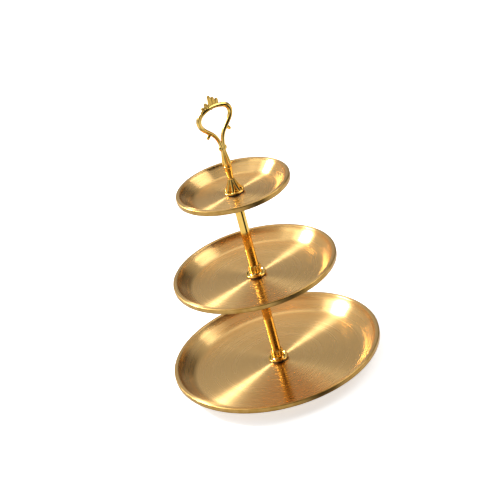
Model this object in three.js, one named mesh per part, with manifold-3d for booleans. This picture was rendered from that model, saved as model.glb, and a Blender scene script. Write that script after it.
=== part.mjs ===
// A three-tier cake stand: three shallow round trays threaded on a centre post, with an ornate
// loop handle on top. Millimetres, +Z up, the table at z = 0 and the post on the Z axis.
// The loop of the handle lies in the XZ plane.
import * as THREE from 'three';
import { mergeVertices } from 'three/addons/utils/BufferGeometryUtils.js';
import Module from 'manifold-3d';

const wasm = await Module();
wasm.setup();

// Trays: outer radius, depth from the rim down to the floor, radius of the flat floor, and
// radius of the hollow curve from the floor up into the straight part of the wall.
const BASE = { radius: 130, depth: 17, floorRadius: 103.5, curveRadius: 12 };
const MIDDLE = { radius: 100.5, depth: 14, floorRadius: 78.5, curveRadius: 9 };
const TOP = { radius: 68.5, depth: 12, floorRadius: 47, curveRadius: 8 };
const SHEET = 1;
const WALL_SLOPE = THREE.MathUtils.degToRad(37);
const WALL_TOP_SLOPE = THREE.MathUtils.degToRad(72);
const LIP_WIDTH = 5;
const LIP_DROP = 6;
const LIP_BEVEL = 0.6;
const PLATE_HOLE_RADIUS = 3.3;

// Heights of the three tray floors (their upper faces) above the table.
const FOOT_HEIGHT = 5;
const BASE_FLOOR = FOOT_HEIGHT + SHEET;
const MIDDLE_FLOOR = BASE_FLOOR + 122;
const TOP_FLOOR = MIDDLE_FLOOR + 113;

// Feet under the base tray.
const FOOT_RADIUS = 7;
const FOOT_CIRCLE_RADIUS = 85;
const FOOT_COUNT = 4;

// M6 thread that holds every joint of the post; the solids are smooth cylinders.
const THREAD_RADIUS = 2.9;
const TAPPED_RADIUS = 3.15;
const ENGAGEMENT = 6;

// Seals on the two sides of a tray, and the gap left between faces that touch.
const GASKET = 1;
const UPPER_GASKET_RADIUS = 11.4;
const LOWER_GASKET_RADIUS = 8;
const FACE_GAP = 0.05;

// Post pieces.
const TUBE_RADIUS = 5.75;
const TUBE_BORE_RADIUS = 4.6;
const FLANGE_RADIUS = 12.4;
const COLLAR_HEIGHT = 14.5;
const SEAT_HEIGHT = 7;
const FERRULE_BORE_RADIUS = 6;
const FERRULE_LOBES = 8;
const SHOULDER_RADIUS = 8.5;
const SHOULDER_HEIGHT = 2.5;
const SPIGOT_RADIUS = 4.3;
const SPIGOT_DEPTH = 8;

// Screw under the base tray.
const HEAD_RADIUS = 7;
const HEAD_HEIGHT = 2.5;
const RECESS_LENGTH = 6;
const RECESS_WIDTH = 1.3;
const RECESS_DEPTH = 1.4;
const WASHER_RADIUS = 9;

// Handle, with heights measured from its foot.
const HANDLE_HEIGHT = 124.8;
const SOCKET_DEPTH = 11;
const STEM_LOBES = 8;
const ROD_RADIUS = 2.2;

// Facets round the trays and round the fluted pieces.
const TRAY_SEGMENTS = 48;
const FLUTED_SEGMENTS = 48;

const GOLD_BRUSHED = { color: 0xd9b065, roughness: 0.35, metalness: 1 };
const GOLD_POLISHED = { color: 0xe0a63c, roughness: 0.12, metalness: 1 };
const STEEL = { color: 0xb9bcc0, roughness: 0.3, metalness: 1 };
const RUBBER = { color: 0x2b2a28, roughness: 0.8, metalness: 0 };

// Turns a list of [radius, height] points round Z. A list that closes on itself, or that starts
// and ends on the axis, makes a closed solid.
function turned(points, segments) {
  const profile = points.map(([radius, height]) => new THREE.Vector2(radius, height));
  return new THREE.LatheGeometry(profile, segments).rotateX(Math.PI / 2);
}

function ring(innerRadius, outerRadius, bottom, top, segments = 28) {
  return turned([
    [innerRadius, bottom], [outerRadius, bottom], [outerRadius, top], [innerRadius, top],
    [innerRadius, bottom],
  ], segments);
}

function rod(radius, bottom, top, segments = 24) {
  return turned([[0, bottom], [radius, bottom], [radius, top], [0, top]], segments);
}

function toSolid(geometry) {
  const bare = geometry.clone();
  bare.deleteAttribute('normal');
  bare.deleteAttribute('uv');
  const merged = mergeVertices(bare, 1e-4);
  return new wasm.Manifold(new wasm.Mesh({
    numProp: 3,
    vertProperties: new Float32Array(merged.attributes.position.array),
    triVerts: new Uint32Array(merged.index.array),
  }));
}

function toGeometry(solid) {
  const mesh = solid.getMesh();
  const geometry = new THREE.BufferGeometry();
  geometry.setAttribute('position', new THREE.BufferAttribute(mesh.vertProperties, 3));
  geometry.setIndex(new THREE.BufferAttribute(mesh.triVerts, 1));
  geometry.computeVertexNormals();
  return geometry;
}

// Pulls the outside of a turned shape inwards between evenly spaced lobes. depthAt(radius, height)
// gives the depth of the groove there, and zero where the surface stays round.
function flute(geometry, lobes, depthAt) {
  const position = geometry.attributes.position;
  for (let i = 0; i < position.count; i += 1) {
    const x = position.getX(i);
    const y = position.getY(i);
    const radius = Math.hypot(x, y);
    const depth = depthAt(radius, position.getZ(i));
    if (radius > 0 && depth > 0) {
      const groove = 0.5 - 0.5 * Math.cos(lobes * Math.atan2(y, x));
      const scale = (radius - depth * groove) / radius;
      position.setXY(i, x * scale, y * scale);
    }
  }
  return geometry;
}

// Tray: flat floor with the post's hole, a wall that curves up, runs straight and then steepens,
// and a narrow flat lip whose edge turns down. The underside repeats the upper face one sheet
// lower.
function tray({ radius, depth, floorRadius, curveRadius }, floor) {
  const rim = floor + depth;
  const lipRadius = radius - LIP_WIDTH;
  // The upper curve's radius is the one that leaves a straight stretch at the wall's slope.
  const run = lipRadius - floorRadius - curveRadius * Math.sin(WALL_SLOPE);
  const rise = depth - curveRadius * (1 - Math.cos(WALL_SLOPE));
  const upperRadius = (Math.cos(WALL_SLOPE) * rise - Math.sin(WALL_SLOPE) * run)
    / (1 - Math.cos(WALL_TOP_SLOPE - WALL_SLOPE));
  const upper = [];
  const under = [];
  const addPoint = (centre, curve, slope) => {
    const r = centre[0] + curve * Math.sin(slope);
    const z = centre[1] - curve * Math.cos(slope);
    upper.push([r, z]);
    under.unshift([r + SHEET * Math.sin(slope), z - SHEET * Math.cos(slope)]);
  };
  for (const part of [0, 1 / 3, 2 / 3, 1]) {
    addPoint([floorRadius, floor + curveRadius], curveRadius, WALL_SLOPE * part);
  }
  const upperCentre = [
    lipRadius - upperRadius * Math.sin(WALL_TOP_SLOPE),
    rim + upperRadius * Math.cos(WALL_TOP_SLOPE),
  ];
  for (const part of [0, 0.45, 0.8]) {
    const slope = WALL_SLOPE + (WALL_TOP_SLOPE - WALL_SLOPE) * part;
    addPoint(upperCentre, upperRadius, slope);
  }
  return turned([
    [PLATE_HOLE_RADIUS, floor - SHEET],
    [PLATE_HOLE_RADIUS, floor],
    ...upper,
    [lipRadius, rim],
    [radius - LIP_BEVEL, rim],
    [radius, rim - LIP_BEVEL],
    [radius, rim - LIP_DROP],
    [radius - SHEET, rim - LIP_DROP],
    [radius - SHEET, rim - SHEET],
    [lipRadius + LIP_BEVEL, rim - SHEET],
    ...under,
    [PLATE_HOLE_RADIUS, floor - SHEET],
  ].reverse(), TRAY_SEGMENTS);
}

// Collar at the foot of a post: a domed flange and a ferrule of petal lobes that holds the tube.
function collar(foot) {
  const outline = turned([
    [TAPPED_RADIUS, foot],
    [FLANGE_RADIUS - 1, foot],
    [FLANGE_RADIUS, foot + 0.9],
    [FLANGE_RADIUS - 0.6, foot + 1.8],
    [FLANGE_RADIUS - 3, foot + 2.7],
    [7.6, foot + 3.7],
    [6.9, foot + 5],
    [7, foot + 9],
    [7.3, foot + 12],
    [6.8, foot + COLLAR_HEIGHT],
    [FERRULE_BORE_RADIUS, foot + COLLAR_HEIGHT],
    [FERRULE_BORE_RADIUS, foot + SEAT_HEIGHT],
    [TAPPED_RADIUS, foot + SEAT_HEIGHT],
    [TAPPED_RADIUS, foot],
  ], FLUTED_SEGMENTS);
  const ferruleBottom = foot + 4;
  const ferruleTop = foot + 13;
  return flute(outline, FERRULE_LOBES, (radius, height) => (
    radius > FERRULE_BORE_RADIUS + 0.5 && height > ferruleBottom && height < ferruleTop ? 0.7 : 0
  ));
}

// Plug in the upper end of a post tube: a shoulder that carries the tray and a tapped spigot.
function plug(shoulderTop) {
  const shoulderBottom = shoulderTop - SHOULDER_HEIGHT;
  return turned([
    [TAPPED_RADIUS, shoulderBottom - SPIGOT_DEPTH],
    [SPIGOT_RADIUS, shoulderBottom - SPIGOT_DEPTH],
    [SPIGOT_RADIUS, shoulderBottom],
    [SHOULDER_RADIUS, shoulderBottom],
    [SHOULDER_RADIUS, shoulderTop - 0.5],
    [SHOULDER_RADIUS - 0.5, shoulderTop],
    [TAPPED_RADIUS, shoulderTop],
    [TAPPED_RADIUS, shoulderBottom - SPIGOT_DEPTH],
  ], 24);
}

// Screw from below: a low domed head with a cross recess and a smooth M6 shank.
function screw(headTop, shankTop) {
  const headBottom = headTop - HEAD_HEIGHT;
  const blank = toSolid(turned([
    [0, headBottom],
    [HEAD_RADIUS - 3, headBottom + 0.3],
    [HEAD_RADIUS, headTop - 0.8],
    [HEAD_RADIUS, headTop],
    [THREAD_RADIUS, headTop],
    [THREAD_RADIUS, shankTop - 0.6],
    [THREAD_RADIUS - 0.6, shankTop],
    [0, shankTop],
  ], 24));
  const slot = new THREE.BoxGeometry(RECESS_LENGTH, RECESS_WIDTH, 2 * RECESS_DEPTH)
    .translate(0, 0, headBottom);
  const crossSlot = slot.clone().rotateZ(Math.PI / 2);
  return toGeometry(blank.subtract(toSolid(slot).add(toSolid(crossSlot))));
}

function foot() {
  const top = FOOT_HEIGHT - FACE_GAP;
  return turned([
    [0, 0], [FOOT_RADIUS - 1.4, 0], [FOOT_RADIUS - 0.7, 0.5], [FOOT_RADIUS, top], [0, top],
  ], 24);
}

// Stem of the handle: a scalloped foot disc, a fluted skirt, a plain waist and a bulb of four
// leaves, with a blind tapped socket in its foot.
function stem(base) {
  const outline = turned([
    [TAPPED_RADIUS, base],
    [11.4, base],
    [12.5, base + 1],
    [12.1, base + 2.2],
    [8.6, base + 3.8],
    [7.2, base + 6],
    [5.9, base + 10],
    [4.4, base + 14.5],
    [3.4, base + 18.5],
    [3.6, base + 23],
    [4.6, base + 29],
    [5.4, base + 33.5],
    [5.2, base + 37],
    [4.6, base + 43],
    [3.7, base + 51],
    [3.4, base + 57],
    [0, base + 60],
    [0, base + SOCKET_DEPTH],
    [TAPPED_RADIUS, base + SOCKET_DEPTH],
    [TAPPED_RADIUS, base],
  ], FLUTED_SEGMENTS);
  return flute(outline, STEM_LOBES, (radius, height) => {
    const h = height - base;
    if (radius < TAPPED_RADIUS + 0.1) return 0;
    if (h > 0.5 && h < 3) return 0.8;
    if (h >= 3 && h < 17) return 1.1;
    if (h > 34 && h < 50) return 0.9;
    return 0;
  });
}

// Loop of the handle: one round rod, up one side, under the crown and down the other.
function loop(base) {
  const half = [
    [1.4, 57], [2.1, 63], [3.2, 69], [5.8, 74.6], [10.5, 80], [16.3, 85.3], [21, 91.2],
    [23, 97.2], [20.4, 103], [16, 105.8], [10.6, 107.6], [4.4, 108.8],
  ];
  const right = half.map(([x, z]) => new THREE.Vector3(x, 0, base + z));
  const left = half.map(([x, z]) => new THREE.Vector3(-x, 0, base + z)).reverse();
  const path = new THREE.CatmullRomCurve3([...right, ...left], false, 'centripetal');
  const section = new THREE.Shape();
  section.absarc(0, 0, ROD_RADIUS, 0, 2 * Math.PI);
  return new THREE.ExtrudeGeometry(section, { steps: 48, curveSegments: 5, extrudePath: path });
}

function ball(x, z, sizeX, sizeY, sizeZ, lean = 0) {
  return new THREE.SphereGeometry(1, 10, 6)
    .scale(sizeX, sizeY, sizeZ)
    .rotateY(lean)
    .translate(x, 0, z);
}

// Crown and leaves of the handle: scroll lobes that step up to the middle, a short twig on each
// arm and a bud on each side of the neck.
function ornaments(base) {
  const tipLobe = 8;
  const lobes = [
    ball(0, base + HANDLE_HEIGHT - tipLobe, 2.4, 2.2, tipLobe),
  ];
  for (const side of [-1, 1]) {
    lobes.push(ball(side * 3.6, base + 113.2, 1.9, 2.1, 6.4, side * 0.2));
    lobes.push(ball(side * 7.2, base + 111.6, 1.9, 2.1, 4.6, side * 0.35));
    lobes.push(ball(side * 11.4, base + 109.6, 2, 2, 4.2, side * 0.5));
    lobes.push(ball(side * 13, base + 78.6, 2.7, 1.6, 1.6, side * 0.6));
    lobes.push(ball(side * 3.4, base + 56.5, 1.5, 1.8, 2.6, side * 0.2));
  }
  return lobes;
}

function handle(base) {
  let solid = toSolid(stem(base)).add(toSolid(loop(base)));
  for (const piece of ornaments(base)) {
    solid = solid.add(toSolid(piece));
  }
  return toGeometry(solid);
}

const stand = new THREE.Group();

function place(name, geometry, finish) {
  const mesh = new THREE.Mesh(geometry, new THREE.MeshStandardMaterial(finish));
  mesh.name = name;
  stand.add(mesh);
  return mesh;
}

// Base tray with its feet, the screw that comes up through it, and the seals round the hole.
place('base_plate', tray(BASE, BASE_FLOOR), GOLD_BRUSHED);
for (let i = 0; i < FOOT_COUNT; i += 1) {
  const angle = ((i + 0.5) * 2 * Math.PI) / FOOT_COUNT;
  const mesh = place(`base_foot_${i + 1}`, foot(), RUBBER);
  mesh.position.set(FOOT_CIRCLE_RADIUS * Math.cos(angle), FOOT_CIRCLE_RADIUS * Math.sin(angle), 0);
}
const washerTop = FOOT_HEIGHT - FACE_GAP;
const washerBottom = FOOT_HEIGHT - GASKET + FACE_GAP;
place('base_washer', ring(PLATE_HOLE_RADIUS, WASHER_RADIUS, washerBottom, washerTop), STEEL);
const screwTop = BASE_FLOOR + GASKET + ENGAGEMENT;
place('base_screw', screw(washerBottom - FACE_GAP, screwTop), STEEL);

function upperGasket(name, floor) {
  const geometry = ring(PLATE_HOLE_RADIUS, UPPER_GASKET_RADIUS, floor + FACE_GAP,
    floor + GASKET - FACE_GAP);
  place(name, geometry, RUBBER);
}

function lowerGasket(name, floor) {
  const underside = floor - SHEET;
  const geometry = ring(PLATE_HOLE_RADIUS, LOWER_GASKET_RADIUS, underside - GASKET + FACE_GAP,
    underside - FACE_GAP);
  place(name, geometry, RUBBER);
}

// Post between two trays: collar, tube, plug, and the stud that stands up through the next tray.
function post(name, lowerFloor, upperFloor) {
  const foot = lowerFloor + GASKET;
  const shoulderTop = upperFloor - SHEET - GASKET;
  const tubeTop = shoulderTop - SHOULDER_HEIGHT - FACE_GAP;
  const tubeBottom = foot + SEAT_HEIGHT + FACE_GAP;
  const studBottom = shoulderTop - SHOULDER_HEIGHT - SPIGOT_DEPTH + 1;
  const studTop = upperFloor + GASKET + ENGAGEMENT;
  place(`${name}_collar`, collar(foot), GOLD_POLISHED);
  place(`${name}_tube`, ring(TUBE_BORE_RADIUS, TUBE_RADIUS, tubeBottom, tubeTop), GOLD_POLISHED);
  place(`${name}_plug`, plug(shoulderTop), GOLD_POLISHED);
  place(`${name}_stud`, rod(THREAD_RADIUS, studBottom, studTop), STEEL);
}

upperGasket('base_upper_gasket', BASE_FLOOR);
post('lower_post', BASE_FLOOR, MIDDLE_FLOOR);

lowerGasket('middle_lower_gasket', MIDDLE_FLOOR);
place('middle_plate', tray(MIDDLE, MIDDLE_FLOOR), GOLD_BRUSHED);
upperGasket('middle_upper_gasket', MIDDLE_FLOOR);
post('upper_post', MIDDLE_FLOOR, TOP_FLOOR);

lowerGasket('top_lower_gasket', TOP_FLOOR);
place('top_plate', tray(TOP, TOP_FLOOR), GOLD_BRUSHED);
upperGasket('top_upper_gasket', TOP_FLOOR);
place('handle_casting', handle(TOP_FLOOR + GASKET), GOLD_POLISHED);

export default stand;
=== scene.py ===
import math
import bpy
from mathutils import Matrix, Vector


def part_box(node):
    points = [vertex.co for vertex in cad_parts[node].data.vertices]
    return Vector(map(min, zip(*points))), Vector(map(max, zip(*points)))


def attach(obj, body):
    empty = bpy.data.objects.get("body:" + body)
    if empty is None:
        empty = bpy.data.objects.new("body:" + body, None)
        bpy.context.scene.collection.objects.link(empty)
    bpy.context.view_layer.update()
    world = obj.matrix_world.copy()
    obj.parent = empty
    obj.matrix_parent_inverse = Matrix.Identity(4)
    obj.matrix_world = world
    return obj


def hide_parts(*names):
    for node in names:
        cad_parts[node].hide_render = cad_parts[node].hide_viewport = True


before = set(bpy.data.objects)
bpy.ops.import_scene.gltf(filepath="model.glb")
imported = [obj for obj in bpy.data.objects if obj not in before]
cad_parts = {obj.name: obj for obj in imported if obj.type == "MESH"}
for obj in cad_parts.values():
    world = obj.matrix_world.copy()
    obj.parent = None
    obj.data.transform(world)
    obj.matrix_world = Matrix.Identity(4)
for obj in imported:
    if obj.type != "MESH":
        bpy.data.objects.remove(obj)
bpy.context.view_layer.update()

# ------------------------------------------------------------------------------------------
# Studio: a pale matt floor, a soft grey surround, and softboxes round the stand. The camera
# looks down on the stand from the left and is rolled, so that the post leans in the frame.
VIEW_AZIMUTH = math.radians(-29)
VIEW_ELEVATION = math.radians(31.1)
VIEW_DISTANCE = 1.768
VIEW_PITCH = math.radians(4.03)
VIEW_ROLL = math.radians(-14.93)
AIM = Vector((0, 0, 0.023))

bpy.context.scene.view_settings.view_transform = "Standard"


def seen_from_camera(azimuth, elevation, distance):
    """A point that far from the stand. Azimuth 0 is behind it, and 90 to the camera's right."""
    across = math.cos(math.radians(elevation)) * distance
    right = across * math.sin(math.radians(azimuth))
    away = across * math.cos(math.radians(azimuth))
    turn = Matrix.Rotation(VIEW_AZIMUTH, 3, "Z")
    return turn @ Vector((right, away, math.sin(math.radians(elevation)) * distance))


stand_off = seen_from_camera(180, math.degrees(VIEW_ELEVATION), VIEW_DISTANCE)
bpy.ops.object.camera_add(location=AIM + stand_off)
camera = bpy.context.object
camera.name = "studio_camera"
camera.data.lens = 102.48
camera.data.sensor_width = 36
camera.rotation_euler = (
    Matrix.Rotation(VIEW_AZIMUTH, 3, "Z")
    @ Matrix.Rotation(math.pi / 2 - VIEW_ELEVATION + VIEW_PITCH, 3, "X")
    @ Matrix.Rotation(VIEW_ROLL, 3, "Z")
).to_euler()
bpy.context.scene.camera = camera


SOFTBOX_DISTANCE = 1.6


def softbox(name, azimuth, elevation, size, watts):
    """A round lamp that points at the stand and that the camera doesn't see."""
    place = seen_from_camera(azimuth, elevation, SOFTBOX_DISTANCE)
    bpy.ops.object.light_add(type="AREA", location=place)
    light = bpy.context.object
    light.name = name
    light.data.shape = "DISK"
    light.data.size = size
    light.data.energy = watts
    light.rotation_euler = place.to_track_quat("Z", "Y").to_euler()
    light.visible_camera = False


softbox("key_softbox", -62, 42, 0.34, 26)
softbox("key_halo_softbox", -66, 44, 0.70, 3.2)
softbox("right_fill_softbox", 94, 50, 1.0, 7.4)
softbox("left_fill_softbox", -104, 44, 0.9, 2.6)
softbox("overhead_softbox", 0, 72, 1.0, 1.6)

world = bpy.data.worlds.new("studio_surround")
bpy.context.scene.world = world
world.use_nodes = True
nodes, links = world.node_tree.nodes, world.node_tree.links
surround = nodes["Background"]
looking = nodes.new("ShaderNodeTexCoord").outputs["Generated"]
turned_to_camera = nodes.new("ShaderNodeMapping")
turned_to_camera.inputs["Rotation"].default_value = (0, 0, -VIEW_AZIMUTH)
links.new(looking, turned_to_camera.inputs["Vector"])
direction = turned_to_camera.outputs["Vector"]
split = nodes.new("ShaderNodeSeparateXYZ")
links.new(direction, split.inputs["Vector"])
height = nodes.new("ShaderNodeMapRange")
height.inputs["From Min"].default_value = -1
links.new(split.outputs["Z"], height.inputs["Value"])
sky = nodes.new("ShaderNodeValToRGB")
sky.color_ramp.elements.remove(sky.color_ramp.elements[0])
sky.color_ramp.elements[0].position = 1
levels = (
    (1.0, 0.8), (0.0, 0.12), (0.1, 0.3), (0.25, 1.0), (0.4, 0.9), (0.47, 0.6), (0.52, 0.48),
    (0.66, 0.5), (0.82, 0.68),
)
for position, grey in levels:
    stop = sky.color_ramp.elements[-1] if position == 1 else sky.color_ramp.elements.new(position)
    stop.color = (grey, grey, grey, 1)
links.new(height.outputs["Result"], sky.inputs["Fac"])
level = sky.outputs["Color"]
# Dark flags, each with its heading, its height, its half-width and how much light it passes.
flags = (
    (38, 18, 40, 0.5), (47, 16, 20, 0.05), (146, 34, 62, 0.05), (142, 0, 30, 0.08),
    (142, -31, 24, 0.03),
)
for azimuth, elevation, half_width, passes in flags:
    towards = nodes.new("ShaderNodeVectorMath")
    towards.operation = "DOT_PRODUCT"
    across = math.cos(math.radians(elevation))
    towards.inputs[1].default_value = (
        across * math.sin(math.radians(azimuth)),
        across * math.cos(math.radians(azimuth)),
        math.sin(math.radians(elevation)),
    )
    links.new(direction, towards.inputs[0])
    flag = nodes.new("ShaderNodeMapRange")
    flag.interpolation_type = "SMOOTHSTEP"
    flag.inputs["From Min"].default_value = math.cos(math.radians(half_width))
    flag.inputs["From Max"].default_value = math.cos(math.radians(half_width * 0.5))
    flag.inputs["To Min"].default_value = 1
    flag.inputs["To Max"].default_value = passes
    links.new(towards.outputs["Value"], flag.inputs["Value"])
    shaded = nodes.new("ShaderNodeVectorMath")
    shaded.operation = "SCALE"
    links.new(level, shaded.inputs[0])
    links.new(flag.outputs["Result"], shaded.inputs["Scale"])
    level = shaded.outputs[0]
links.new(level, surround.inputs["Color"])
surround.inputs["Strength"].default_value = 1.0

bpy.ops.object.select_all(action="DESELECT")
bpy.ops.mesh.primitive_plane_add(size=40, location=(0, 0, -0.0005))
floor = bpy.context.object
floor.name = "studio_floor"
floor_paint = bpy.data.materials.new("floor_paint")
floor_paint.use_nodes = True
paint = floor_paint.node_tree.nodes["Principled BSDF"]
paint.inputs["Base Color"].default_value = (0.93, 0.93, 0.92, 1)
paint.inputs["Roughness"].default_value = 0.9
paint.inputs["Emission Color"].default_value = (1, 1, 1, 1)
paint.inputs["Emission Strength"].default_value = 0.6
floor.data.materials.append(floor_paint)
floor.visible_glossy = False

# ------------------------------------------------------------------------------------------
# Feet: four short pads of matt black rubber under the base tray, stuck on. Each is turned,
# with a rounded edge at the table and a shallow hollow underneath that grips like a sucker.
MM = 0.001


def turned(name, outline, facets=192, sharpest=35):
    """Spins an outline of (radius, height) points, in millimetres, round the Z axis."""
    bpy.ops.object.select_all(action="DESELECT")
    bpy.ops.mesh.primitive_circle_add(vertices=3, radius=MM, location=(0, 0, 0))
    piece = bpy.context.object
    piece.name = piece.data.name = name
    bpy.ops.object.mode_set(mode="EDIT")
    bpy.ops.mesh.select_all(action="SELECT")
    bpy.ops.mesh.merge(type="CENTER")
    start = outline[0]
    bpy.ops.transform.translate(value=(start[0] * MM, 0, start[1] * MM))
    for here, there in zip(outline, outline[1:]):
        step = ((there[0] - here[0]) * MM, 0, (there[1] - here[1]) * MM)
        bpy.ops.mesh.extrude_region_move(TRANSFORM_OT_translate={"value": step})
    bpy.ops.mesh.select_all(action="SELECT")
    bpy.ops.mesh.spin(steps=facets, angle=2 * math.pi, center=(0, 0, 0), axis=(0, 0, 1))
    bpy.ops.mesh.select_all(action="SELECT")
    bpy.ops.mesh.remove_doubles(threshold=0.002 * MM)
    bpy.ops.mesh.normals_make_consistent(inside=False)
    bpy.ops.object.mode_set(mode="OBJECT")
    bpy.ops.object.shade_smooth_by_angle(angle=math.radians(sharpest))
    return piece


def arc(centre, radius, start, end, count):
    """Points on a circle in an outline. Angles are in degrees, with 0 outwards and 90 up."""
    points = []
    for i in range(count + 1):
        angle = math.radians(start + (end - start) * i / count)
        points.append((centre[0] + radius * math.cos(angle), centre[1] + radius * math.sin(angle)))
    return points


def new_material(name, colour, metallic, roughness):
    material = bpy.data.materials.new(name)
    material.use_nodes = True
    shader = material.node_tree.nodes["Principled BSDF"]
    shader.inputs["Base Color"].default_value = (*colour, 1)
    shader.inputs["Metallic"].default_value = metallic
    shader.inputs["Roughness"].default_value = roughness
    return material, shader


def add_node(material, kind, settings=(), **sockets):
    """Adds a node, sets its settings, and sets or links its input sockets by name."""
    node = material.node_tree.nodes.new(kind)
    for key, value in dict(settings).items():
        setattr(node, key, value)
    for key, value in sockets.items():
        socket = node.inputs[int(key[1:])] if key[0] == "_" else node.inputs[key]
        if isinstance(value, bpy.types.NodeSocket):
            material.node_tree.links.new(value, socket)
        else:
            socket.default_value = value
    return node


def bumpy(material, shader, height, distance, strength=1.0):
    bump = add_node(material, "ShaderNodeBump", Height=height, Distance=distance, Strength=strength)
    material.node_tree.links.new(bump.outputs["Normal"], shader.inputs["Normal"])


def rubber_finish():
    material, shader = new_material("matt_rubber", (0.016, 0.015, 0.014), 0, 0.72)
    place = add_node(material, "ShaderNodeTexCoord").outputs["Object"]
    grain = add_node(material, "ShaderNodeTexNoise", Vector=place, Scale=2600, Detail=3)
    dust = add_node(material, "ShaderNodeTexNoise", Vector=place, Scale=180, Detail=4)
    shade = add_node(material, "ShaderNodeValToRGB", Fac=dust.outputs["Fac"])
    shade.color_ramp.elements[0].color = (0.011, 0.010, 0.010, 1)
    shade.color_ramp.elements[1].color = (0.032, 0.031, 0.029, 1)
    material.node_tree.links.new(shade.outputs["Color"], shader.inputs["Base Color"])
    bumpy(material, shader, grain.outputs["Fac"], 0.04 * MM)
    return material


rubber = rubber_finish()
for number in range(1, 5):
    low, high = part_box(f"base_foot_{number}")
    radius = (high.x - low.x) / 2 / MM
    height = (high.z - low.z) / MM
    foot = turned(f"foot_pad_{number}", [
        (0, 0.5),
        (3.4, 0.5),
        (4.0, 0),
        (radius - 2.2, 0),
        *arc((radius - 2.2, 0.9), 0.9, -90, -8, 6),
        (radius - 0.15, height - 1.2),
        *arc((radius - 0.5, height - 0.5), 0.5, 0, 90, 5),
        (0, height),
    ], facets=64)
    bpy.ops.object.mode_set(mode="EDIT")
    bpy.ops.mesh.select_all(action="SELECT")
    middle = (low + high) / 2
    bpy.ops.transform.translate(value=(middle.x, middle.y, low.z))
    bpy.ops.object.mode_set(mode="OBJECT")
    foot.data.materials.append(rubber)
    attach(foot, "base")
    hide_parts(f"base_foot_{number}")

# ------------------------------------------------------------------------------------------
# Trays: three round trays pressed from thin stainless sheet, gold coated, and brushed in
# circles while they spin. Each has a flat floor with a hole for the post, a hollow curve into
# a sloping wall, a rounded shoulder, and a narrow lip. The turned-down edge isn't brushed.
SHEET = 1.0
WALL_SLOPE = 37
WALL_TOP_SLOPE = 72
LIP_WIDTH = 5.0
LIP_DROP = 6.0
PLATE_HOLE = 3.3
EDGE_DEPTH = 1.4


def tray_outline(radius, floor_radius, curve_radius, bottom, rim):
    """Floor, lower curve, straight wall, upper curve and lip, then the same one sheet lower."""
    floor_top = bottom + SHEET
    lip_start = radius - LIP_WIDTH
    low_slope, top_slope = math.radians(WALL_SLOPE), math.radians(WALL_TOP_SLOPE)
    run = lip_start - floor_radius - curve_radius * math.sin(low_slope)
    rise = rim - floor_top - curve_radius * (1 - math.cos(low_slope))
    upper_radius = (
        (math.cos(low_slope) * rise - math.sin(low_slope) * run)
        / (1 - math.cos(top_slope - low_slope))
    )
    lower = (floor_radius, floor_top + curve_radius)
    upper = (
        lip_start - upper_radius * math.sin(top_slope),
        rim + upper_radius * math.cos(top_slope),
    )
    return [
        (PLATE_HOLE, bottom + 0.2),
        (PLATE_HOLE, floor_top - 0.2),
        (PLATE_HOLE + 0.2, floor_top),
        (floor_radius * 0.35, floor_top),
        (floor_radius * 0.7, floor_top),
        *arc(lower, curve_radius, -90, WALL_SLOPE - 90, 8),
        *arc(upper, upper_radius, WALL_SLOPE - 90, WALL_TOP_SLOPE - 92, 10),
        *arc((lip_start + 0.75, rim - 0.75), 0.75, 160, 95, 5),
        (radius - LIP_WIDTH / 2, rim),
        *arc((radius - 1.3, rim - 1.3), 1.3, 80, 0, 8),
        (radius, rim - LIP_DROP / 2),
        *arc((radius - 0.4, rim - LIP_DROP + 0.4), 0.4, 0, -180, 6),
        *arc((radius - 1.6, rim - 1.9), 0.7, 0, 90, 4),
        (lip_start + 0.9, rim - SHEET - 0.2),
        *arc(upper, upper_radius + SHEET, WALL_TOP_SLOPE - 98, WALL_SLOPE - 90, 8),
        *arc(lower, curve_radius + SHEET, WALL_SLOPE - 90, -90, 8),
        (floor_radius * 0.7, bottom),
        (floor_radius * 0.35, bottom),
        (PLATE_HOLE + 0.2, bottom),
        (PLATE_HOLE, bottom + 0.2),
    ]


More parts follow.
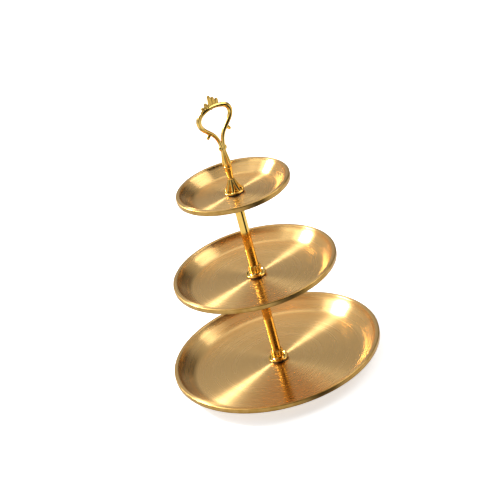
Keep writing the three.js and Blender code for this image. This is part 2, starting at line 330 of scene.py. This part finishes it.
def brushed_gold_finish():
    material, shader = new_material("gold_brushed_in_circles", (0.80, 0.55, 0.26), 1, 0.30)
    shader.inputs["Anisotropic"].default_value = 1.0
    shader.inputs["Anisotropic Rotation"].default_value = 0.25
    tangent = add_node(material, "ShaderNodeTangent", {"direction_type": "RADIAL", "axis": "Z"})
    material.node_tree.links.new(tangent.outputs["Tangent"], shader.inputs["Tangent"])
    place = add_node(material, "ShaderNodeTexCoord").outputs["Object"]
    flat = add_node(material, "ShaderNodeVectorMath", {"operation": "MULTIPLY"}, _0=place, _1=(1, 1, 0))
    radius = add_node(material, "ShaderNodeVectorMath", {"operation": "LENGTH"}, _0=flat.outputs[0])
    heading = add_node(material, "ShaderNodeVectorMath", {"operation": "NORMALIZE"}, _0=flat.outputs[0])
    around = add_node(material, "ShaderNodeSeparateXYZ", Vector=heading.outputs[0])
    fine = add_node(
        material, "ShaderNodeMath", {"operation": "MULTIPLY"}, _0=radius.outputs["Value"], _1=2600,
    )
    long_x = add_node(material, "ShaderNodeMath", {"operation": "MULTIPLY"}, _0=around.outputs["X"], _1=5)
    long_y = add_node(material, "ShaderNodeMath", {"operation": "MULTIPLY"}, _0=around.outputs["Y"], _1=5)
    stroke = add_node(
        material, "ShaderNodeCombineXYZ",
        X=fine.outputs[0], Y=long_x.outputs[0], Z=long_y.outputs[0],
    )
    brushing = add_node(material, "ShaderNodeTexNoise", Vector=stroke.outputs[0], Scale=1, Detail=3)
    bands = add_node(material, "ShaderNodeTexNoise", Vector=stroke.outputs[0], Scale=0.06, Detail=2)
    tone = add_node(
        material, "ShaderNodeMath", {"operation": "ADD"},
        _0=brushing.outputs["Fac"], _1=bands.outputs["Fac"],
    )
    half = add_node(material, "ShaderNodeMath", {"operation": "MULTIPLY"}, _0=tone.outputs[0], _1=0.5)
    colour = add_node(material, "ShaderNodeValToRGB", Fac=half.outputs[0])
    colour.color_ramp.elements[0].position = 0.22
    colour.color_ramp.elements[0].color = (0.76, 0.47, 0.165, 1)
    colour.color_ramp.elements[1].position = 0.78
    colour.color_ramp.elements[1].color = (0.90, 0.58, 0.235, 1)
    material.node_tree.links.new(colour.outputs["Color"], shader.inputs["Base Color"])
    gloss = add_node(material, "ShaderNodeMapRange", Value=bands.outputs["Fac"])
    gloss.inputs["To Min"].default_value = 0.245
    gloss.inputs["To Max"].default_value = 0.295
    material.node_tree.links.new(gloss.outputs["Result"], shader.inputs["Roughness"])
    bumpy(material, shader, brushing.outputs["Fac"], 0.004 * MM, 0.5)
    return material


def painted_shade_edge_gold_finish():
    """The turned-down edge isn't brushed and shines evenly. Its darker colour is painted shade, standing
    in for the dark reflection under the rolled edge.
    """
    material, shader = new_material("gold_unbrushed_edge_painted_shade", (0.82, 0.50, 0.19), 1, 0.16)
    place = add_node(material, "ShaderNodeTexCoord").outputs["Object"]
    cloud = add_node(material, "ShaderNodeTexNoise", Vector=place, Scale=90, Detail=4)
    # Painted shade: these darker golds stand in for the shade and dark reflection on the rolled edge, not
    # a darker coating.
    colour = add_node(material, "ShaderNodeValToRGB", Fac=cloud.outputs["Fac"])
    colour.color_ramp.elements[0].position = 0.35
    colour.color_ramp.elements[0].color = (0.50, 0.28, 0.065, 1)
    colour.color_ramp.elements[1].position = 0.65
    colour.color_ramp.elements[1].color = (0.64, 0.39, 0.12, 1)
    material.node_tree.links.new(colour.outputs["Color"], shader.inputs["Base Color"])
    gloss = add_node(material, "ShaderNodeMapRange", Value=cloud.outputs["Fac"])
    gloss.inputs["To Min"].default_value = 0.28
    gloss.inputs["To Max"].default_value = 0.36
    material.node_tree.links.new(gloss.outputs["Result"], shader.inputs["Roughness"])
    return material


brushed_gold = brushed_gold_finish()
painted_shade_edge_gold = painted_shade_edge_gold_finish()
trays = [
    ("base", "base", 103.5, 12.0),
    ("middle", "middle_tray", 78.5, 9.0),
    ("top", "top_tray", 47.0, 8.0),
]
for tier, body, floor_radius, curve_radius in trays:
    low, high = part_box(f"{tier}_plate")
    tray = turned(f"{tier}_tray", tray_outline(
        high.x / MM, floor_radius, curve_radius, low.z / MM, high.z / MM,
    ), facets=256)
    tray.data.materials.append(brushed_gold)
    tray.data.materials.append(painted_shade_edge_gold)
    # Faces past this radius get the edge gold, whose darker colour is painted shade.
    edge_start = high.x - EDGE_DEPTH * MM
    for face in tray.data.polygons:
        if face.center.xy.length > edge_start:
            face.material_index = 1
    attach(tray, body)
    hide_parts(f"{tier}_plate")

# ------------------------------------------------------------------------------------------
# Gaskets: a soft matt rubber ring above and below each tray, so that metal never bears on
# metal. The base tray has none below. Turned rings with rounded edges.
gaskets = [
    ("base_upper_gasket", "lower_post_lift"),
    ("middle_lower_gasket", "lower_post"),
    ("middle_upper_gasket", "upper_post_lift"),
    ("top_lower_gasket", "upper_post"),
    ("top_upper_gasket", "handle_lift"),
]
for node, body in gaskets:
    low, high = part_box(node)
    outer, bottom, top = high.x / MM, low.z / MM, high.z / MM
    bend = (top - bottom) / 2
    gasket = turned(node.replace("gasket", "seal"), [
        (PLATE_HOLE, bottom),
        (PLATE_HOLE, top),
        *arc((outer - bend, (top + bottom) / 2), bend, 90, -90, 8),
        (PLATE_HOLE, bottom),
    ], facets=96)
    gasket.data.materials.append(rubber)
    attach(gasket, body)
    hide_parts(node)

# ------------------------------------------------------------------------------------------
# Post collars: cast, gold plated and polished like a mirror. A flange with a raised, rounded
# rim spreads the load on the tray, and a ferrule of eight petals holds the tube.


def polished_gold_finish():
    material, shader = new_material("gold_polished", (0.92, 0.62, 0.20), 1, 0.09)
    place = add_node(material, "ShaderNodeTexCoord").outputs["Object"]
    cloud = add_node(material, "ShaderNodeTexNoise", Vector=place, Scale=60, Detail=3)
    colour = add_node(material, "ShaderNodeValToRGB", Fac=cloud.outputs["Fac"])
    colour.color_ramp.elements[0].position = 0.35
    colour.color_ramp.elements[0].color = (0.90, 0.56, 0.12, 1)
    colour.color_ramp.elements[1].position = 0.65
    colour.color_ramp.elements[1].color = (0.95, 0.64, 0.18, 1)
    material.node_tree.links.new(colour.outputs["Color"], shader.inputs["Base Color"])
    haze = add_node(material, "ShaderNodeTexNoise", Vector=place, Scale=420, Detail=4)
    gloss = add_node(material, "ShaderNodeMapRange", Value=haze.outputs["Fac"])
    gloss.inputs["To Min"].default_value = 0.05
    gloss.inputs["To Max"].default_value = 0.11
    material.node_tree.links.new(gloss.outputs["Result"], shader.inputs["Roughness"])
    bumpy(material, shader, haze.outputs["Fac"], 0.004 * MM, 0.5)
    return material


polished_gold = polished_gold_finish()
COLLAR_BORE = 3.15
FERRULE_BORE = 6.0
SEAT = 7.0
PETALS = 8
COLLAR_VOXEL = 0.17


def fuse(piece, voxel):
    """Joins the overlapping shells of a piece into one skin and softens the seams."""
    remesh = piece.modifiers.new("one_skin", "REMESH")
    remesh.mode = "VOXEL"
    remesh.voxel_size = voxel * MM
    remesh.use_smooth_shade = True
    bpy.context.view_layer.objects.active = piece
    bpy.ops.object.modifier_apply(modifier=remesh.name)
    soften = piece.modifiers.new("soft_seams", "SMOOTH")
    soften.factor = 0.5
    soften.iterations = 2
    bpy.ops.object.modifier_apply(modifier=soften.name)
    bpy.ops.object.shade_smooth()


def blob(centre, size, lean=0, heading=0):
    """A stretched ball, in millimetres: leant about Y, then turned about Z, in degrees."""
    bpy.ops.object.select_all(action="DESELECT")
    bpy.ops.mesh.primitive_uv_sphere_add(segments=32, ring_count=20, radius=MM)
    ball = bpy.context.object
    ball.scale = size
    ball.rotation_euler = (0, math.radians(lean), math.radians(heading))
    ball.location = Vector(centre) * MM
    bpy.ops.object.transform_apply(location=True, rotation=True, scale=True)
    return ball


def join(name, pieces):
    bpy.ops.object.select_all(action="DESELECT")
    for piece in pieces:
        piece.select_set(True)
    bpy.context.view_layer.objects.active = pieces[0]
    bpy.ops.object.join()
    pieces[0].name = pieces[0].data.name = name
    return pieces[0]


def rod(points):
    """A tapering round rod through (x, y, height, radius) points, in millimetres."""
    bpy.ops.object.select_all(action="DESELECT")
    bpy.ops.curve.primitive_nurbs_path_add(location=(0, 0, 0))
    piece = bpy.context.object
    line = piece.data.splines[0]
    line.points.add(max(0, len(points) - len(line.points)))
    for point, (x, y, height, radius) in zip(line.points, points):
        point.co = (x * MM, y * MM, height * MM, 1)
        point.radius = radius
    for spare in range(len(points), len(line.points)):
        x, y, height, radius = points[-1]
        line.points[spare].co = (x * MM, y * MM, height * MM, 1)
        line.points[spare].radius = radius
    line.order_u = min(4, len(points))
    line.use_endpoint_u = True
    line.resolution_u = 5
    piece.data.bevel_depth = MM
    piece.data.bevel_resolution = 4
    piece.data.use_fill_caps = True
    bpy.ops.object.convert(target="MESH")
    return bpy.context.object


for post in ("lower_post", "upper_post"):
    low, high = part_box(f"{post}_collar")
    foot, top = low.z / MM, high.z / MM
    rim = high.x / MM
    body = turned(f"{post}_collar_body", [
        (COLLAR_BORE, foot),
        (rim - 2.6, foot),
        (rim - 2.3, foot + 0.8),
        *arc((rim - 1.2, foot + 1.9), 1.2, -110, 110, 12),
        (rim - 2.6, foot + 2.2),
        (rim - 4.0, foot + 2.2),
        (rim - 5.0, foot + 2.9),
        (6.9, foot + 4.2),
        (6.5, foot + 5.5),
        (6.45, top - 1.2),
        *arc((6.22, top - 0.3), 0.22, 0, 180, 4),
        (FERRULE_BORE, foot + SEAT),
        (COLLAR_BORE, foot + SEAT),
        (COLLAR_BORE, foot),
    ], facets=128)
    petals = []
    for i in range(PETALS):
        turn = 2 * math.pi * (i + 0.5) / PETALS
        petals.append(blob(
            (6.3 * math.cos(turn), 6.3 * math.sin(turn), foot + 8.6), (1.55, 2.0, 5.6),
            heading=math.degrees(turn),
        ))
    collar = join(f"{post}_flared_collar", [body, *petals])
    fuse(collar, COLLAR_VOXEL)
    collar.data.materials.append(polished_gold)
    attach(collar, post)
    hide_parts(f"{post}_collar")

# ------------------------------------------------------------------------------------------
# Post tubes: plain drawn tube, gold plated and polished, with softly rounded ends. The lower
# end stands in the collar and the upper end carries the plug.
TUBE_BORE = 4.6
for post in ("lower_post", "upper_post"):
    low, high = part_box(f"{post}_tube")
    outer, bottom, top = high.x / MM, low.z / MM, high.z / MM
    tube = turned(f"{post}_drawn_tube", [
        (TUBE_BORE, bottom + 0.2),
        (TUBE_BORE + 0.2, bottom),
        (outer - 0.3, bottom),
        (outer, bottom + 0.3),
        (outer, (bottom + top) / 2),
        (outer, top - 0.3),
        (outer - 0.3, top),
        (TUBE_BORE + 0.2, top),
        (TUBE_BORE, top - 0.2),
        (TUBE_BORE, (bottom + top) / 2),
        (TUBE_BORE, bottom + 0.2),
    ], facets=128)
    tube.data.materials.append(polished_gold)
    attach(tube, post)
    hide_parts(f"{post}_tube")

# ------------------------------------------------------------------------------------------
# Post plugs: turned gold-plated plugs in the upper ends of the tubes. The spigot is pressed
# into the tube, the shoulder carries the next tray, and the bore is tapped for the stud.
SPIGOT = 4.3
SHOULDER_HEIGHT = 2.5
for post in ("lower_post", "upper_post"):
    low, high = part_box(f"{post}_plug")
    outer, bottom, top = high.x / MM, low.z / MM, high.z / MM
    under = top - SHOULDER_HEIGHT
    plug = turned(f"{post}_shoulder_plug", [
        (COLLAR_BORE, bottom + 0.3),
        (COLLAR_BORE + 0.3, bottom),
        (SPIGOT - 0.4, bottom),
        (SPIGOT, bottom + 0.4),
        (SPIGOT, under - 0.2),
        (SPIGOT + 0.2, under),
        (outer - 0.7, under),
        *arc((outer - 0.7, under + 0.7), 0.7, -90, 0, 6),
        *arc((outer - 0.7, top - 0.7), 0.7, 0, 90, 6),
        (COLLAR_BORE + 0.3, top),
        (COLLAR_BORE, top - 0.3),
        (COLLAR_BORE, bottom + 0.3),
    ], facets=128)
    plug.data.materials.append(polished_gold)
    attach(plug, post)
    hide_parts(f"{post}_plug")

# ------------------------------------------------------------------------------------------
# Studs: short lengths of zinc-plated M6 rod, screwed into the plugs. Each stands up through
# the tray into the next collar.


def steel_finish():
    material, shader = new_material("zinc_plated_steel", (0.55, 0.56, 0.58), 1, 0.28)
    place = add_node(material, "ShaderNodeTexCoord").outputs["Object"]
    spangle = add_node(material, "ShaderNodeTexNoise", Vector=place, Scale=900, Detail=4)
    colour = add_node(material, "ShaderNodeValToRGB", Fac=spangle.outputs["Fac"])
    colour.color_ramp.elements[0].color = (0.46, 0.47, 0.50, 1)
    colour.color_ramp.elements[1].color = (0.66, 0.67, 0.68, 1)
    material.node_tree.links.new(colour.outputs["Color"], shader.inputs["Base Color"])
    gloss = add_node(material, "ShaderNodeMapRange", Value=spangle.outputs["Fac"])
    gloss.inputs["To Min"].default_value = 0.2
    gloss.inputs["To Max"].default_value = 0.4
    material.node_tree.links.new(gloss.outputs["Result"], shader.inputs["Roughness"])
    bumpy(material, shader, spangle.outputs["Fac"], 0.01 * MM)
    return material


steel = steel_finish()
PITCH = 1.0
THREAD_ROOT = 2.45
THREAD_CREST = 2.9


def threaded(name, bottom, top, head=()):
    """A rod with a helical thread from bottom to top. Head is an outline below the rod."""
    core = turned(f"{name}_core", [
        *(head or [(0, bottom)]),
        (THREAD_ROOT, bottom),
        (THREAD_ROOT, top - 0.4),
        (THREAD_ROOT - 0.4, top),
        (0, top),
    ], facets=64)
    turns = int((top - bottom - 1.2) / PITCH)
    bpy.ops.object.select_all(action="DESELECT")
    bpy.ops.mesh.primitive_circle_add(vertices=3, radius=MM, location=(0, 0, 0))
    ridge = bpy.context.object
    bpy.ops.object.mode_set(mode="EDIT")
    bpy.ops.mesh.select_all(action="SELECT")
    bpy.ops.mesh.merge(type="CENTER")
    start = bottom + 0.1
    bpy.ops.transform.translate(value=((THREAD_ROOT - 0.1) * MM, 0, start * MM))
    rise, out = 0.38, THREAD_CREST - THREAD_ROOT + 0.1
    for outwards, up in ((out, rise), (0, 0.12), (-out, rise), (0, -0.12 - 2 * rise)):
        step = (outwards * MM, 0, up * MM)
        bpy.ops.mesh.extrude_region_move(TRANSFORM_OT_translate={"value": step})
    bpy.ops.mesh.select_all(action="SELECT")
    bpy.ops.mesh.remove_doubles(threshold=0.002 * MM)
    bpy.ops.object.mode_set(mode="OBJECT")
    helix = ridge.modifiers.new("helix", "SCREW")
    helix.screw_offset = PITCH * MM
    helix.iterations = turns
    helix.steps = 48
    helix.render_steps = 48
    bpy.ops.object.modifier_apply(modifier=helix.name)
    bpy.ops.object.mode_set(mode="EDIT")
    bpy.ops.mesh.select_all(action="DESELECT")
    bpy.ops.mesh.select_non_manifold()
    bpy.ops.mesh.fill()
    bpy.ops.mesh.select_all(action="SELECT")
    bpy.ops.mesh.normals_make_consistent(inside=False)
    bpy.ops.object.mode_set(mode="OBJECT")
    bpy.ops.object.shade_smooth_by_angle(angle=math.radians(35))
    return join(name, [core, ridge])


for post in ("lower_post", "upper_post"):
    low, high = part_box(f"{post}_stud")
    stud = threaded(f"{post}_threaded_stud", low.z / MM, high.z / MM)
    stud.data.materials.append(steel)
    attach(stud, post)
    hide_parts(f"{post}_stud")

# ------------------------------------------------------------------------------------------
# Base screw and washer: a zinc-plated screw with a low domed head and a cross recess, driven
# up through the washer and the base tray into the lower collar.
low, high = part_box("base_screw")
head_bottom = low.z / MM
FACE_GAP = 0.05
head_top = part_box("base_washer")[0].z / MM - FACE_GAP
head_radius = high.x / MM
screw = threaded("domed_screw", head_top, high.z / MM, head=[
    (0, head_bottom),
    (head_radius - 3.2, head_bottom + 0.25),
    (head_radius - 1.4, head_bottom + 0.8),
    (head_radius - 0.3, head_top - 0.9),
    (head_radius, head_top - 0.5),
    (head_radius, head_top),
])
recess_cutters = []
for turn in (0, 90):
    bpy.ops.object.select_all(action="DESELECT")
    centre = (0, 0, head_bottom * MM)
    bpy.ops.mesh.primitive_cube_add(size=MM, location=centre, scale=(6.0, 1.3, 2.8))
    cutter = bpy.context.object
    cutter.rotation_euler = (0, 0, math.radians(turn))
    bpy.ops.object.transform_apply(location=True, rotation=True, scale=True)
    cut = screw.modifiers.new("recess", "BOOLEAN")
    cut.operation = "DIFFERENCE"
    cut.solver = "EXACT"
    cut.object = cutter
    bpy.context.view_layer.objects.active = screw
    bpy.ops.object.modifier_apply(modifier=cut.name)
    recess_cutters.append(cutter)
for cutter in recess_cutters:
    bpy.data.objects.remove(cutter)
bpy.ops.object.select_all(action="DESELECT")
screw.select_set(True)
bpy.context.view_layer.objects.active = screw
bpy.ops.object.shade_smooth_by_angle(angle=math.radians(35))
screw.data.materials.append(steel)
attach(screw, "base")
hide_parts("base_screw")

low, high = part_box("base_washer")
outer, bottom, top = high.x / MM, low.z / MM, high.z / MM
washer = turned("plain_washer", [
    (PLATE_HOLE, bottom + 0.1),
    (PLATE_HOLE + 0.1, bottom),
    (outer - 0.25, bottom),
    (outer, bottom + 0.25),
    (outer, top - 0.1),
    (outer - 0.1, top),
    (PLATE_HOLE + 0.1, top),
    (PLATE_HOLE, top - 0.1),
    (PLATE_HOLE, bottom + 0.1),
], facets=96)
washer.data.materials.append(steel)
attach(washer, "base")
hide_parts("base_washer")

# ------------------------------------------------------------------------------------------
# Handle: one casting, gold plated and polished. A round foot and a ribbed skirt rise to a
# slim waist and a leaf bulb, and two S-shaped arms with a twig each meet under a crown.
low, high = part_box("handle_casting")
base = low.z / MM
tip = (high.z - low.z) / MM
HANDLE_VOXEL = 0.32
STEM = [
    (COLLAR_BORE, 0), (10.4, 0), (10.7, 0.7), (12.0, 1.0), (12.5, 1.7), (12.3, 2.5), (11.5, 3.0),
    (10.3, 2.7), (8.6, 2.5), (6.4, 3.2), (5.0, 5.0), (3.9, 8.5), (3.2, 13), (3.1, 17.5),
    (3.4, 21), (3.9, 25), (4.5, 29), (5.0, 32.2), (5.0, 33.4), (4.2, 34.2), (2.7, 36),
    (2.3, 43), (2.0, 51), (1.9, 57), (0, 59), (0, 11), (COLLAR_BORE, 11), (COLLAR_BORE, 0),
]
# Half of the loop, from the neck up to the middle of the crown: across, height, radius.
ARM = [
    (1.2, 54, 2.3), (1.5, 59, 2.3), (2.2, 64, 2.3), (3.4, 69.5, 2.4), (6.0, 75, 2.5),
    (10.6, 80.2, 2.6), (16.2, 85.2, 2.75), (20.8, 91.0, 3.0), (22.4, 97.2, 3.2),
    (20.2, 103, 3.4), (16, 105.9, 3.1), (10.6, 107.6, 2.7), (4.4, 108.8, 2.5), (0, 109, 2.5),
]
# Crown scrolls: where each is rooted across the loop, its root's height, and its tip's place.
SCROLLS = [
    (-9.6, 107.6, -13.4, 113.2), (-4.6, 108.4, -8.2, 116.8), (-0.4, 109, -1.6, tip - 0.7),
    (3.4, 109, 2.9, 120.6), (7.2, 108.8, 7.8, 117.4),
]


def scroll(root_across, root, tip_across, top):
    """An upright leaf with a raised rolled edge: a rod bent over like a hairpin."""
    span, rise = tip_across - root_across, top - 1.2 - root
    length = math.hypot(span, rise)
    path = [(-1.2, 0, 1.2), (-1.3, 0.35, 1.1), (-1.35, 0.7, 1.1), (-1.3, 0.98, 1.1), (0, 1.06, 1.1),
            (1.3, 0.98, 1.1), (1.35, 0.7, 1.1), (1.3, 0.35, 1.1), (1.2, 0, 1.2)]
    return rod([
        (root_across + span * share + offset * rise / length, 0,
         base + root + rise * share - offset * span / length, radius)
        for offset, share, radius in path
    ])


# Ribs of the skirt and edges of the bulb's leaves: distance from the axis, height, radius.
RIB = [
    (9.6, 2.0, 1.5), (8.3, 3.4, 2.2), (6.8, 5.4, 2.35), (5.5, 8.4, 2.15), (4.3, 11.8, 1.75),
    (3.2, 15.6, 1.35), (2.4, 19.0, 0.8),
]
LEAF_EDGE = [
    (3.7, 32.4, 1.3), (4.1, 34.8, 1.75), (3.9, 38.5, 1.75), (3.4, 43, 1.6), (2.8, 48, 1.35),
    (2.3, 53, 1.1), (2.0, 57, 0.9),
]
parts = [turned("stem", [(r, base + h) for r, h in STEM], facets=128)]
for profile, count, offset in ((RIB, 7, 0.5), (LEAF_EDGE, 5, 0)):
    for i in range(count):
        turn = 2 * math.pi * (i + offset) / count
        parts.append(rod([
            (r * math.cos(turn), r * math.sin(turn), base + h, radius) for r, h, radius in profile
        ]))
for side in (-1, 1):
    parts.append(rod([(side * x, 0, base + h, radius) for x, h, radius in ARM]))
    parts.append(blob((side * 3.7, 0, base + 56.8), (1.8, 2.0, 3.2), side * 14))
    twig = [(9.6, 79.6, 2.0), (12.4, 79.0, 2.3), (14.4, 77.6, 2.3), (15.2, 76.2, 2.2)]
    parts.append(rod([(side * x, 0, base + h, radius) for x, h, radius in twig]))
    parts.append(blob((side * 15.2, 0, base + 76.2), (2.1, 2.0, 2.1)))
parts.extend(scroll(*leaf) for leaf in SCROLLS)
# A thin web behind the scrolls closes the gaps between them.
for across, middle, width, rise in ((-1, 113.5, 3.4, 8.2), (-7.5, 110.2, 4.6, 3.9), (5, 112, 4.6, 5)):
    parts.append(blob((across, 0, base + middle), (width, 0.5, rise)))
# A rolled leaf edge outside one shoulder of the loop.
shoulder_leaf = [
    (-16.6, 86.0, 1.1), (-21.6, 89.4, 1.4), (-23.6, 94.4, 1.4), (-23.6, 99.4, 1.4),
    (-21.4, 105.0, 1.4), (-17.6, 108.2, 1.3), (-14.6, 111.6, 1.1),
]
parts.append(rod([(x, -2.4, base + h, radius) for x, h, radius in shoulder_leaf]))
handle = join("loop_handle", parts)
fuse(handle, HANDLE_VOXEL)
handle.data.materials.append(polished_gold)
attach(handle, "handle")
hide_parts("handle_casting")
